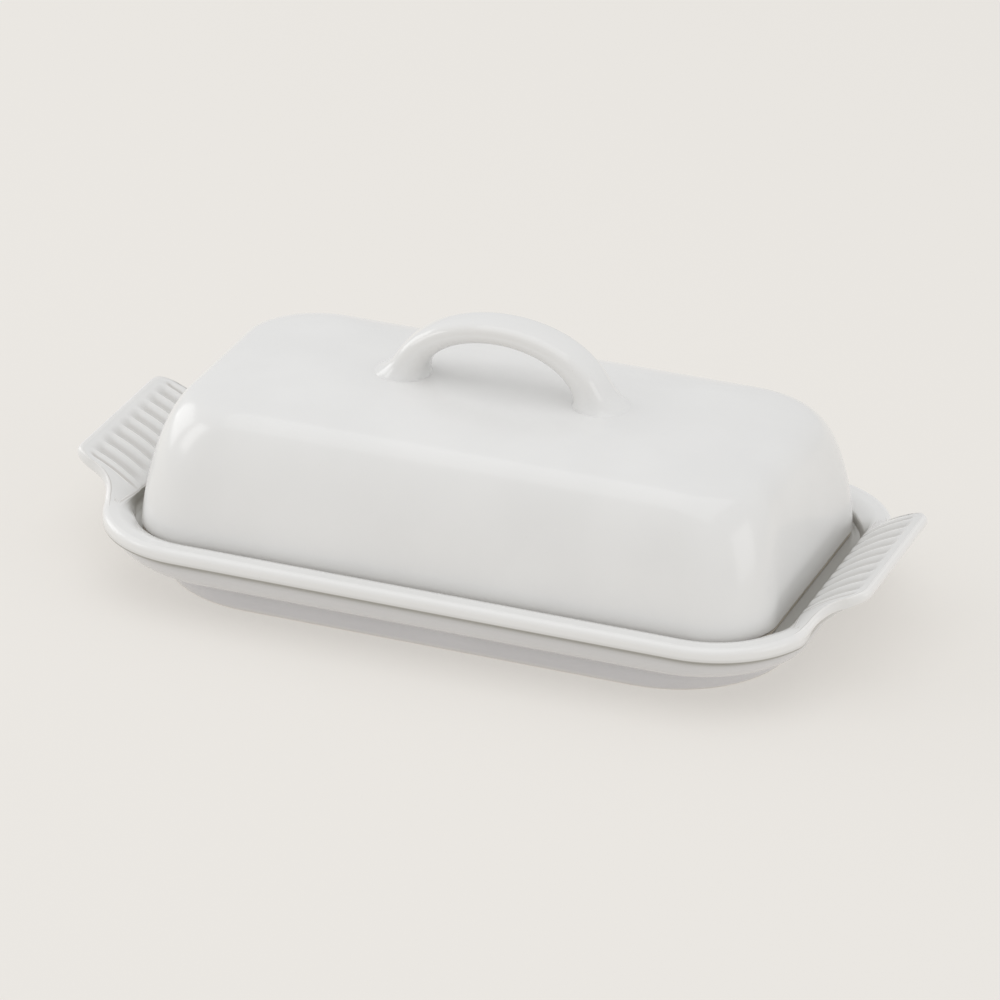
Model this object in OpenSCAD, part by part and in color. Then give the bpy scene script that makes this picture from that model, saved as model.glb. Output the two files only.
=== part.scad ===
// Covered stoneware butter dish: a shallow footed dish with two fluted ears, and a loaf-shaped
// cover with an arched loop handle. X runs from ear to ear, Y from front to back, Z is up.
// The origin is on the table, under the middle of the dish.

/* [Dish rim] */
// Length of the rim, without the ears
rim_length = 191.4; // [186:0.2:196]
// Width of the rim
rim_width = 112; // [110:0.5:118]
// Corner radius of the rim, seen from above
rim_corner = 28.6; // [24:0.2:30]
// Height of the rim's top face above the table
rim_top = 19.2; // [18.4:0.2:21]
// Width of the rim's top face, out to where it starts to curve down inside
rim_band = 4; // [3.4:0.1:4.6]

/* [Dish body and foot] */
// Height of the floor that the cover and the butter stand on
floor_height = 15; // [14:0.5:15.5]
// Thickness of the floor
floor_thickness = 5.5; // [4.5:0.5:6]
// Height of the foot
foot_height = 6; // [5:0.5:7]
// Length of the foot where it meets the table
foot_length = 163; // [160:1:168]
// Width of the foot where it meets the table
foot_width = 80.5; // [79:0.5:86]
// Corner radius of the foot, seen from above
foot_corner = 31; // [26:1:32]
// Width of the band that the foot stands on
foot_band = 9; // [7:0.5:11]

/* [Ears] */
// Length of the dish over both ears
ear_span = 214.4; // [213:0.2:219]
// Width of an ear
ear_width = 54; // [48:1:55]
// Height of the lip above the table
ear_height = 28.4; // [27:0.2:30]
// Thickness of an ear at its lip
ear_thickness = 3.2; // [3:0.1:4]
// Corner radius of the lip
ear_corner = 4.5; // [4:0.5:8]
// Radius of the hollow flank that joins an ear to the rim
ear_flank = 7; // [4:0.5:7.5]
// Radius of the arch that the top of an ear follows
ear_arch = 43; // [36:1:60]
// Number of ridges on each ear
ridge_count = 9; // [7:1:10]
// Height of a ridge above the valley beside it
ridge_height = 1; // [0.5:0.1:1.2]

/* [Cover] */
// Length of the cover at its base
cover_length = 170.4; // [167:0.2:172]
// Width of the cover at its base
cover_width = 93.6; // [91:0.2:95]
// Corner radius of the cover at its base
cover_corner = 17.5; // [15:0.5:20]
// Height of the cover's crown above the table
cover_top = 54; // [52:0.5:57]
// How far the rounded shoulder comes in at each end
end_shoulder = 10.4; // [8:0.2:14]
// How far the rounded shoulder comes in at each side
side_shoulder = 12.4; // [10:0.2:16]
// Rise of the crown above the shoulder
crown_rise = 3.2; // [2:0.1:4]
// Corner radius of the crown, seen from above
crown_corner = 18.8; // [16:0.2:21]
// Thickness of the cover's wall
cover_wall = 4.8; // [4.4:0.1:5.5]
// Height of the bare edge that the cover stands on
bare_edge = 1.2; // [1:0.1:2]

/* [Loop handle] */
// Length of the opening under the arch
arch_opening = 41; // [38:0.5:46]
// Height of the opening under the arch
finger_gap = 12.8; // [12:0.2:16]
// Thickness of the strap at the top of the arch
strap_thickness = 6.1; // [6:0.1:8]
// Thickness of a leg, measured along the cover above its pad
leg_thickness = 8.6; // [8:0.2:11]
// Width of the strap at the top of the arch
strap_width = 12.4; // [11:0.2:14]
// How far each pad spreads beyond the leg
pad_spread = 5; // [2:0.5:6]
// Width of a pad across the cover
pad_width = 15.6; // [14:0.2:17]

/* [Hidden] */
arc_steps = 10;      // steps in each rounded corner of an outline
rim_x = rim_length / 2;
rim_y = rim_width / 2;
rim_roll = 1.6;      // radius of the rim's outer top edge
under_rim = floor_height;  // the rim's underside is level with the floor inside it
undercut = 2.8;      // how far the groove below the rim goes in
belly_inset = 11.6;  // from the rim's outer face to the top of the foot
wall_toe = 8.8;      // from the rim's outer face to where that curve reaches the floor
ear_wall = 6;        // from the rim's outer face to the ear's inner edge
fillet = 1.6;        // radius where the ear's inner wall meets the floor
ear_tip = ear_span / 2;
ear_half = ear_width / 2;
ear_blend = 38;      // half width of the part of the rim that rises into an ear
ridge_pitch = (ear_width - 3) / ridge_count;
ridges_half = ridge_pitch * ridge_count / 2;
edge_step = 0.5;     // the bare edge stands this far back from the glazed wall
cover_x = cover_length / 2;
cover_y = cover_width / 2;
cover_base = floor_height + bare_edge;
shoulder_top = cover_top - crown_rise;
flat_x = 38;         // half length of the flat on the crown, where the handle stands
flat_y = 9.5;        // half width of that flat

// ---------- outlines and lofts ----------

function mix(a, b, t) = a + (b - a) * t;

// Smooth step from 0 to 1 as x goes from a to b
function ease(x, a, b) = let (t = min(1, max(0, (x - a) / (b - a)))) t * t * (3 - 2 * t);

// One rounded corner about (cx, cy), from angle a0 to a0 + 90 degrees
function corner(cx, cy, r, a0) =
    [for (i = [0:arc_steps]) let (a = a0 + 90 * i / arc_steps) [cx + r * cos(a), cy + r * sin(a)]];

// A rounded rectangle, anticlockwise, with half sizes hx and hy
function outline(hx, hy, r) = concat(
    corner(hx - r, hy - r, r, 0), corner(r - hx, hy - r, r, 90),
    corner(r - hx, r - hy, r, 180), corner(hx - r, r - hy, r, 270));

// The same outline lifted to height z
function ring(hx, hy, r, z) = [for (p = outline(hx, hy, r)) [p.x, p.y, z]];

// An outline that follows the rim, moved in by inset
function rim_ring(inset, z) = ring(rim_x - inset, rim_y - inset, rim_corner - inset, z);

// Two triangles between rings i and j, at point k of n
function band(i, j, k, n) = let (m = (k + 1) % n)
    [[i * n + k, j * n + m, i * n + m], [i * n + k, j * n + k, j * n + m]];

// A solid through a list of rings. It is capped at both ends, or joined end to end when closed.
module loft(rings, closed = false) {
    n = len(rings[0]);
    last = len(rings) - 1;
    sides = [for (i = [0:last - 1], k = [0:n - 1]) each band(i, i + 1, k, n)];
    ends = closed ? [for (k = [0:n - 1]) each band(last, 0, k, n)]
                  : [[for (k = [0:n - 1]) k], [for (k = [n - 1:-1:0]) last * n + k]];
    polyhedron([for (r = rings) each r], concat(sides, ends), convexity = 6);
}

// A flat plate with rounded corners
module plate(hx, hy, r, z0, z1) {
    translate([0, 0, z0]) linear_extrude(z1 - z0) {
        square([2 * hx - 2 * r, 2 * hy], center = true);
        square([2 * hx, 2 * hy - 2 * r], center = true);
        for (x = [r - hx, hx - r], y = [r - hy, hy - r]) translate([x, y]) circle(r, $fn = 64);
    }
}

// ---------- dish ----------

// Ring t of the belly, from the top of the foot (t = 0) to the undercut (t = 1)
function belly_ring(t) = let (s = sin(90 * t))
    ring(rim_x - mix(belly_inset, undercut, s), rim_y - mix(belly_inset, undercut, s),
         mix(foot_corner - 2, rim_corner - undercut, s), mix(foot_height, under_rim + 0.4, 1 - cos(90 * t)));

// The height of the curve inside the rim, from its toe (t = 0) to the rim's top (t = 1)
function wall_z(t) = mix(floor_height, rim_top, ease(t, 0, 1));

// The recess below the floor, the belly, the rolled rim, and the dished floor inside it
module tray_body() {
    recess = [foot_length / 2 - foot_band, foot_width / 2 - foot_band, foot_corner - foot_band];
    loft(concat(
        [ring(recess.x - 2, recess.y - 2, recess.z - 2, floor_height - floor_thickness),
         ring(recess.x, recess.y, recess.z, foot_height)],
        [for (i = [0:5]) belly_ring(i / 5)],
        [rim_ring(1.4, under_rim), rim_ring(0.4, under_rim + 0.5)],
        [for (a = [0:30:90]) rim_ring(rim_roll * (1 - cos(a)), rim_top - rim_roll * (1 - sin(a)))],
        [for (i = [6:-1:0]) rim_ring(mix(wall_toe, rim_band, i / 6), wall_z(i / 6))]));
}

// The ears stand in two square notches that go through the rim, down to its undercut
module dish_tray() {
    notch = rim_at(wall_toe, ear_blend);
    color("whitesmoke") difference() {
        tray_body();
        for (side = [-1, 1]) translate([side * (notch + 20), 0, under_rim + 20])
            cube([40, 2 * ear_blend, 40], center = true);
    }
}

// The foot stands on a level band and slopes out to the belly
module foot_ring() {
    hx = foot_length / 2;
    hy = foot_width / 2;
    recess = [hx - foot_band, hy - foot_band, foot_corner - foot_band];
    color("gainsboro") loft([
        ring(recess.x, recess.y, recess.z, foot_height),
        ring(recess.x, recess.y, recess.z, 0.6),
        ring(recess.x + 0.6, recess.y + 0.6, recess.z + 0.6, 0),
        ring(hx - 0.8, hy - 0.8, foot_corner - 0.8, 0),
        ring(hx, hy, foot_corner, 0.8),
        ring(rim_x - belly_inset - 0.6, rim_y - belly_inset - 0.6, foot_corner - 2.6, foot_height)], closed = true);
}

// ---------- ears ----------

// Where a line that follows the rim at an inset crosses the plane y
function rim_at(inset, y) =
    let (past = max(0, abs(y) - (rim_y - rim_corner)))
    rim_x - rim_corner + sqrt(pow(rim_corner - inset, 2) - pow(past, 2));

// The ear's edge, seen from above: a straight lip, a round corner, a hollow flank, then the rim
function ear_edge(y) =
    let (v = abs(y), round_from = ear_half - ear_corner, flank_to = ear_half + ear_flank)
    v <= round_from ? ear_tip
    : v <= ear_half ? ear_tip - ear_corner + sqrt(pow(ear_corner, 2) - pow(v - round_from, 2))
    : v < flank_to ? rim_x + ear_flank - sqrt(pow(ear_flank, 2) - pow(flank_to - v, 2))
    : rim_at(0, y);

// The arch that the ear's top follows, from the rim's inner edge up to the lip
arch_from = [rim_x - ear_wall, rim_top - 0.4];
arch_to = [ear_tip, ear_height];
arch_chord = norm(arch_to - arch_from);
arch_dir = (arch_to - arch_from) / arch_chord;
arch_centre = (arch_from + arch_to) / 2
    + sqrt(pow(ear_arch, 2) - pow(arch_chord / 2, 2)) * [arch_dir.y, -arch_dir.x];
function arch_z(x) = arch_centre.y + sqrt(pow(ear_arch, 2) - pow(x - arch_centre.x, 2));

// Depth of the valleys between the ridges, at a point of the ear's top
function valley(x, y) =
    ridge_height * (1 - pow((1 - cos(360 * (y + ridges_half) / ridge_pitch)) / 2, 1.2))
    * ease(x, ear_edge(y) - 3, ear_edge(y) - 5.5)
    * ease(abs(y), ridges_half, ridges_half - ridge_pitch / 4);

// The rim's cross-section at y: inner wall, top, rolled edge, underside
function rim_section(y) = concat(
    [for (i = [0:6]) [rim_at(mix(wall_toe, rim_band, i / 6), y), wall_z(i / 6)]],
    [for (i = [0:8]) [rim_at(mix(rim_band - 0.2, rim_roll + 0.2, i / 8), y), rim_top]],
    [for (a = [90:-22.5:0]) [rim_at(rim_roll * (1 - cos(a)), y), rim_top - rim_roll * (1 - sin(a))]],
    [[rim_at(0, y), under_rim + 1]],
    [for (i = [1:3]) [rim_at(mix(0.4, undercut, i / 3), y), under_rim + 0.1]],
    [[rim_at(undercut + 0.5, y), under_rim]]);

// The ear's cross-section at y, with the same number of points
function ear_section(y) =
    let (edge = ear_edge(y), half = ear_thickness / 2, nose = [edge - half, arch_z(edge - 0.6) - half],
         inner = arch_from.x + 0.5, heel = rim_x - undercut - 0.4, foot_x = arch_from.x - 0.3)
    concat(
    [for (a = [90:-22.5:0]) [foot_x - fillet * (1 - cos(a)), floor_height + fillet * (1 - sin(a))]],
    [[foot_x + 0.1, floor_height + 2.2], [foot_x + 0.2, arch_from.y - 0.4 - 0.7 * valley(arch_from.x, y)]],
    [for (i = [0:8]) let (x = mix(inner, edge - half, i / 8)) [x, arch_z(x) - valley(x, y)]],
    [for (a = [75:-37.5:-75]) nose + half * [cos(a), sin(a)]],
    [for (i = [0:3]) let (t = (i + 0.5) / 4)
        [mix(edge - half, heel, t), mix(nose.y - half, under_rim + 0.2, pow(t, 1.25))]],
    [[heel, under_rim]]);

// The cross-section at y, which passes smoothly from the rim into the ear
function blended_section(y) =
    let (t = ease(abs(y), ear_blend, ear_half - 2), a = rim_section(y), b = ear_section(y))
    [for (k = [0:len(a) - 1]) mix(a[k], b[k], t)];

// The right ear, as one loft from its front flank to its back flank
module ear() {
    steps = 6 * ridge_count;
    flank = [for (i = [0:10]) mix(ear_blend, ridges_half + 0.4, i / 10)];
    stations = concat([for (y = flank) -y], [for (i = [0:steps]) mix(-ridges_half, ridges_half, i / steps)],
                      [for (i = [10:-1:0]) flank[i]]);
    loft([for (y = stations) [for (p = blended_section(y)) [p.x, y, p.y]]]);
}

module ear_right() {
    color("white") ear();
}

module ear_left() {
    color("white") rotate(180) ear();
}

// ---------- cover ----------

// How far the shoulder has come in (x) and up (y) at step t of its curve, both from 0 to 1
function shoulder_curve(t) = let (a = 84 * t, full = 1 - pow(cos(84), 0.86))
    [(1 - pow(cos(a), 0.86)) / full, pow(sin(a) / sin(84), 1.32)];

// Ring t of the shoulder, from the cover's base (t = 0) to where the crown starts (t = 1)
function shoulder_ring(t, wall) = let (c = shoulder_curve(t))
    ring(cover_x - end_shoulder * c.x - wall, cover_y - side_shoulder * c.x - wall,
         mix(cover_corner, crown_corner, t) - wall, mix(cover_base, shoulder_top, c.y) - wall * t);

// Ring t of the crown, from the shoulder (t = 0) to the flat that the handle stands on (t = 1)
function crown_ring(t, wall) =
    let (hx = mix(cover_x - end_shoulder - wall, flat_x, t), hy = mix(cover_y - side_shoulder - wall, flat_y, t))
    ring(hx, hy, mix(crown_corner - wall, flat_y - 0.5, t), mix(shoulder_top, cover_top, t * (2 - t)) - wall);

// One hollow shell: down the inside, across its edge, and up the outside
module cover_shell() {
    color("whitesmoke") loft(concat(
        [for (i = [3:-1:1]) crown_ring(i / 3, cover_wall)],
        [for (i = [8:-1:0]) shoulder_ring(i / 8, cover_wall)],
        [ring(cover_x - edge_step, cover_y - edge_step, cover_corner - edge_step, cover_base)],
        [ring(cover_x - 0.1, cover_y - 0.1, cover_corner - 0.1, cover_base + 0.5)],
        [for (i = [1:11]) shoulder_ring(i / 11, 0)],
        [for (i = [1:4]) crown_ring(i / 4, 0)]));
}

// The unglazed edge that the cover stands on
module cover_edge() {
    inner = cover_wall - 0.4;
    color("linen") difference() {
        plate(cover_x - edge_step, cover_y - edge_step, cover_corner - edge_step, floor_height, cover_base);
        plate(cover_x - inner, cover_y - inner, cover_corner - inner, floor_height - 1, cover_base + 1);
    }
}

// ---------- loop handle ----------

// How much of a pad's spread is there, at angle a round the arch
function flare(a) = pow(1 - sin(a), 8);

// Points on the underside and on the back of the strap, at angle a
function arch_under(a) = [arch_opening / 2 * cos(a) - flare(a) * sign(cos(a)), finger_gap * sin(a)];
function arch_back(a) = [(arch_opening / 2 + leg_thickness) * cos(a) + pad_spread * flare(a) * sign(cos(a)),
                         (finger_gap + strap_thickness) * sin(a)];

// The strap's soft-cornered cross-section at angle a
function strap_ring(a) =
    let (low = arch_under(a), high = arch_back(a), mid = (low + high) / 2, out = (high - low) / 2,
         half_y = mix(strap_width, pad_width, flare(a)) / 2)
    [for (k = [0:22.5:337.5]) let (u = sign(cos(k)) * pow(abs(cos(k)), 0.5), v = sign(sin(k)) * pow(abs(sin(k)), 0.5))
        [mid.x + out.x * u, half_y * v, cover_top + mid.y + out.y * u]];

// A strap arched over the crown, with a pad at each foot
module loop_handle() {
    color("white") loft([for (i = [0:26]) strap_ring(180 * i / 26)]);
}

dish_tray();
foot_ring();
ear_left();
ear_right();
cover_shell();
cover_edge();
loop_handle();
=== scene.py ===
"""Covered stoneware butter dish: the finished look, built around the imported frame.

The dish (tray, foot and two fluted ears) and its cover (shell, bare edge and loop handle) are
smooth lofts that follow the frame's boxes. X runs from ear to ear, Z is up, lengths are metres.
"""

import logging
import math
from dataclasses import dataclass
from enum import Enum
from typing import Any, Dict, List, Optional, Sequence, Tuple, Union

import bpy
import numpy as np
from mathutils import Matrix, Vector


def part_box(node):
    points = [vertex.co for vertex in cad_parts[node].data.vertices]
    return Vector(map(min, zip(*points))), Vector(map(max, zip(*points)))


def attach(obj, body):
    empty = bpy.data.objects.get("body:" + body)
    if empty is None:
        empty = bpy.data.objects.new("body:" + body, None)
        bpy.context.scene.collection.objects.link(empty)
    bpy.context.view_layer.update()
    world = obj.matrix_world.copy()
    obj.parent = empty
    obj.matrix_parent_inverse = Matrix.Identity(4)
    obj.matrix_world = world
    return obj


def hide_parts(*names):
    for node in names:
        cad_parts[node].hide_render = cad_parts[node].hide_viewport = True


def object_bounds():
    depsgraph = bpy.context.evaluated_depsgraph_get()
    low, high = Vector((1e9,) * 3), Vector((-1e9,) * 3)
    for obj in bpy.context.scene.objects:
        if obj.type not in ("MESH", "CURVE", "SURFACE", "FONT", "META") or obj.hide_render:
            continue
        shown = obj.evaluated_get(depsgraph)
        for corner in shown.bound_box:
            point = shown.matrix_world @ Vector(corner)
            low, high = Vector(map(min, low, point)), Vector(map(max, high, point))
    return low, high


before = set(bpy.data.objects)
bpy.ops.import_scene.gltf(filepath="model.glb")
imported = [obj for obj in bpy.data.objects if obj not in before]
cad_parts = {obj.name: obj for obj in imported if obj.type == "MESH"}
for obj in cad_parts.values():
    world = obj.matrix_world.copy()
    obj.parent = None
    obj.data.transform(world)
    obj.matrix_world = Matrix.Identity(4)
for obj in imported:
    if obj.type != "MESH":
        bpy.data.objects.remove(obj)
CAD_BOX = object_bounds()
LOG = logging.getLogger("butter_dish")

Colour = Tuple[float, float, float]
Points = np.ndarray


class Body(Enum):
    """The two bodies of the frame."""

    DISH = "dish"
    COVER = "cover"


class Slot(Enum):
    """The record's material slots."""

    TRAY = "white_glaze"
    FOOT = "foot_glaze"
    EAR = "ear_glaze"
    COVER = "cover_glaze"
    HANDLE = "handle_glaze"
    BARE = "bare_stoneware"


class End(Enum):
    """The two ends of the dish, by the sign of X."""

    LEFT = -1
    RIGHT = 1


# ---- shader building


class Value:
    """A shader socket that takes part in Python arithmetic. Each sum adds a Math node."""

    def __init__(self, book: "NodeBook", socket: bpy.types.NodeSocket) -> None:
        """Keeps the socket and the book that it is written in."""
        self.book = book
        self.socket = socket

    def _math(self, operation: str, *terms: Union["Value", float]) -> "Value":
        """Adds one Math node with that operation and those inputs, and gives its result."""
        return self.book.add("ShaderNodeMath", {"operation": operation}, dict(enumerate(terms)))

    def __add__(self, other: Union["Value", float]) -> "Value":
        """Self plus other."""
        return self._math("ADD", self, other)

    def __radd__(self, other: float) -> "Value":
        """Other plus self."""
        return self._math("ADD", other, self)

    def __sub__(self, other: Union["Value", float]) -> "Value":
        """Self minus other."""
        return self._math("SUBTRACT", self, other)

    def __rsub__(self, other: float) -> "Value":
        """Other minus self."""
        return self._math("SUBTRACT", other, self)

    def __mul__(self, other: Union["Value", float]) -> "Value":
        """Self times other."""
        return self._math("MULTIPLY", self, other)

    def __rmul__(self, other: float) -> "Value":
        """Other times self."""
        return self._math("MULTIPLY", other, self)

    def step(self, low: float, high: float) -> "Value":
        """A smooth step of this value.

        Args:
            low: Where the step starts, at 0.
            high: Where the step ends, at 1.

        Returns:
            The step, from 0 to 1.
        """
        settings = {"interpolation_type": "SMOOTHSTEP"}
        sockets = {"Value": self, "From Min": low, "From Max": high}
        return self.book.add("ShaderNodeMapRange", settings, sockets)


class NodeBook:
    """Writes the nodes of one material."""

    def __init__(self, name: str) -> None:
        """Makes an empty material.

        Args:
            name: Its name.
        """
        self.material = bpy.data.materials.new(name)
        self.material.use_nodes = True
        self.tree = self.material.node_tree
        self.tree.nodes.clear()

    def add(self, kind: str, settings: Optional[Dict[str, Any]] = None,
            sockets: Optional[Dict[Union[str, int], Any]] = None, output: Union[str, int] = 0) -> Value:
        """Adds a node of any kind.

        Args:
            kind: The node's type.
            settings: Its properties, set before its sockets.
            sockets: A value, a colour or a link for each input, by name or number.
            output: The output to return, by name or number.

        Returns:
            The chosen output.
        """
        node = self.tree.nodes.new(kind)
        for key, setting in (settings or {}).items():
            setattr(node, key, setting)
        for key, given in (sockets or {}).items():
            if isinstance(given, Value):
                self.tree.links.new(given.socket, node.inputs[key])
            elif isinstance(given, tuple) and len(given) == 3 and node.inputs[key].type == "RGBA":
                node.inputs[key].default_value = (*given, 1.0)
            else:
                node.inputs[key].default_value = given
        return Value(self, node.outputs[output])

    def blend(self, share: Union[Value, float], first: Union[Value, Colour],
              second: Union[Value, Colour]) -> Value:
        """Mixes a share of the second colour, from 0 to 1, into the first."""
        return self.add("ShaderNodeMix", {"data_type": "RGBA"}, {0: share, 6: first, 7: second}, output=2)

    def place(self) -> Value:
        """The point's place on the object, in metres."""
        return self.add("ShaderNodeTexCoord", output="Object")

    def height(self) -> Value:
        """The point's height above the table, in metres."""
        return self.add("ShaderNodeSeparateXYZ", None, {"Vector": self.place()}, output="Z")

    def noise(self, scale: float, detail: float = 2.0, roughness: float = 0.5) -> Value:
        """Smooth noise about 0.5, with so many features in a metre, and so many finer layers."""
        sockets = {"Vector": self.place(), "Scale": scale, "Detail": detail, "Roughness": roughness}
        return self.add("ShaderNodeTexNoise", None, sockets, output=0)

    def mask(self, name: str) -> Value:
        """A value that the mesh holds at each of its points."""
        return self.add("ShaderNodeAttribute", {"attribute_name": name}, output="Fac")

    def bump(self, height: Value, distance: float) -> Value:
        """Turns a height into a normal. A height of 1 stands for the distance, in metres."""
        return self.add("ShaderNodeBump", None, {"Height": height, "Distance": distance, "Strength": 1.0})

    def finish(self, sockets: Dict[str, Any]) -> bpy.types.Material:
        """Ends the material with one Principled shader.

        Args:
            sockets: The shader's inputs.

        Returns:
            The material.
        """
        shader = self.add("ShaderNodeBsdfPrincipled", None, sockets)
        end = self.tree.nodes.new("ShaderNodeOutputMaterial")
        self.tree.links.new(shader.socket, end.inputs["Surface"])
        return self.material


# ---- finishes


@dataclass(frozen=True)
class Glaze:
    """A white glaze over stoneware: lighter on edges, from thin glaze and a painted highlight; darker in
    hollows, from pooled glaze and painted shade; with painted shade in creases and towards the bottom where
    asked.
    """

    name: str
    body: Colour = (0.845, 0.842, 0.832)
    # Edge colour: thin glaze, plus a painted highlight on edges.
    thin: Colour = (0.885, 0.88, 0.868)
    # Hollow colour: pooled glaze, plus painted shade in hollows.
    pool: Colour = (0.76, 0.745, 0.72)
    # Painted shade colour for the gap by the cover, the undercut and the flutes.
    painted_shade: Colour = (0.33, 0.32, 0.285)
    # Painted shade colour, used darker towards the bottom.
    low: Colour = (0.70, 0.695, 0.70)
    speck: Colour = (0.55, 0.50, 0.43)
    clay_dark: Colour = (0.52, 0.46, 0.39)
    clay_light: Colour = (0.68, 0.62, 0.54)
    gloss: float = 0.22
    coat: float = 0.35
    cloud_depth: float = 0.012
    peel_depth: float = 0.000004
    wave_depth: float = 0.000018
    low_shade_from: Optional[float] = None
    low_shade_to: float = 0.0149
    bare_below: Optional[float] = None
    bare_blur: float = 0.0002

    def material(self) -> bpy.types.Material:
        """Makes the glaze.

        Returns:
            The material.
        """
        book = NodeBook(self.name)
        thin, pool = book.mask("thin"), book.mask("pool")
        clouds = book.noise(38.0, 3.0)
        drift = (clouds - 0.5) * (2.0 * self.cloud_depth)
        shade = tuple(c * (1.0 - 2.5 * self.cloud_depth) for c in self.body)
        colour = book.blend(clouds.step(0.30, 0.72), shade, self.body)
        # Hollows darkened: pooled glaze, plus painted shade.
        colour = book.blend(pool * 0.75, colour, self.pool)
        # Edges lightened: thin glaze, plus a painted highlight.
        colour = book.blend(thin * 0.6, colour, self.thin)
        # Painted shade: darker towards the bottom, below low_shade_to.
        if self.low_shade_from is not None:
            colour = book.blend(1.0 - book.height().step(self.low_shade_from, self.low_shade_to), colour, self.low)
        # Painted shade, by the painted_shade amount that the mesh holds at each point.
        colour = book.blend(book.mask("painted_shade"), colour, self.painted_shade)
        specks = book.noise(1400.0, 1.0).step(0.80, 0.86)
        colour = book.blend(specks * 0.25, colour, self.speck)
        rough = self.gloss + thin * 0.07 + drift
        peel = book.noise(1100.0, 1.0)
        wave = book.noise(75.0, 2.0)
        relief = wave + peel * (self.peel_depth / self.wave_depth)
        coat: Union[Value, float] = self.coat
        if self.bare_below is not None:
            grain = book.noise(2600.0, 3.0, 0.7)
            ragged = book.height() + (book.noise(240.0) - 0.5) * self.bare_blur
            bare = 1.0 - ragged.step(self.bare_below, self.bare_below + self.bare_blur)
            clay = book.blend(grain.step(0.35, 0.70), self.clay_dark, self.clay_light)
            colour = book.blend(bare, colour, clay)
            rough = rough + bare * 0.5
            relief = relief + bare * grain * 0.8
            coat = (1.0 - bare) * self.coat
        return book.finish({
            "Base Color": colour, "Roughness": rough, "IOR": 1.5, "Coat Weight": coat,
            "Coat Roughness": 0.10, "Normal": book.bump(relief, self.wave_depth)})


@dataclass(frozen=True)
class BareClay:
    """Unglazed stoneware, matt and slightly sandy."""

    name: str
    light: Colour = (0.66, 0.60, 0.52)
    dark: Colour = (0.47, 0.42, 0.35)

    def material(self) -> bpy.types.Material:
        """Makes the clay.

        Returns:
            The material.
        """
        book = NodeBook(self.name)
        grain = book.noise(2400.0, 3.0, 0.7)
        stain = book.noise(60.0, 2.0)
        lightness = grain.step(0.32, 0.68) * 0.6 + stain.step(0.3, 0.7) * 0.4
        colour = book.blend(lightness, self.dark, self.light)
        return book.finish({
            "Base Color": colour, "Roughness": 0.78 + (grain - 0.5) * 0.3,
            "Normal": book.bump(grain, 0.00008)})


@dataclass(frozen=True)
class FloorPaint:
    """The pale sweep that the dish stands on."""

    name: str = "sweep_paint"
    colour: Colour = (0.45, 0.436, 0.415)
    glow: float = 0.90

    def material(self) -> bpy.types.Material:
        """Makes the paint.

        Returns:
            The material.
        """
        book = NodeBook(self.name)
        colour = book.blend(book.noise(3.0, 2.0), self.colour, tuple(c * 0.995 for c in self.colour))
        return book.finish({
            "Base Color": colour, "Roughness": 0.9, "Specular IOR Level": 0.0,
            "Emission Color": (*self.colour, 1.0), "Emission Strength": self.glow})


# ---- mesh building


def mix(first: Any, second: Any, share: Any) -> Any:
    """The value that lies at a share of the way from first to second."""
    return first + (second - first) * share


def ease(x: Any, start: float, end: float) -> Any:
    """A smooth step at x: 0 as far as the start, 1 from the end on."""
    t = np.clip((x - start) / (end - start), 0.0, 1.0)
    return t * t * (3.0 - 2.0 * t)


def turn(first: float, last: float, steps: int) -> Points:
    """Evenly spaced angles, in radians, from the first to the last, in degrees."""
    return np.radians(np.linspace(first, last, steps + 1))


def lifted(outline: Points, z: float) -> Points:
    """A flat outline, raised to the height z."""
    return np.column_stack([outline, np.full(len(outline), z)])


def rounded(half_x: float, half_y: float, radius: float, up: Points, corner: Points, steps: int) -> Points:
    """A rounded rectangle, anticlockwise from the middle of its right end.

    Args:
        half_x: Half its length.
        half_y: Half its width.
        radius: Its corner radius.
        up: The Y values of the points along half the right end.
        corner: The angles of the points round a corner.
        steps: The number of steps along half the side.

    Returns:
        Its points, as X and Y.
    """
    along = np.linspace(half_x - radius, 0.0, steps + 1)[1:]
    x = np.concatenate([np.full(len(up), half_x), half_x - radius + radius * np.cos(corner), along])
    y = np.concatenate([up, half_y - radius + radius * np.sin(corner), np.full(len(along), half_y)])
    ahead, back = slice(0, -1), slice(-1, 0, -1)
    xs = np.concatenate([x[ahead], -x[back], -x[ahead], x[back]])
    ys = np.concatenate([y[ahead], y[back], -y[ahead], -y[back]])
    return np.stack([xs, ys], axis=1)


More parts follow.
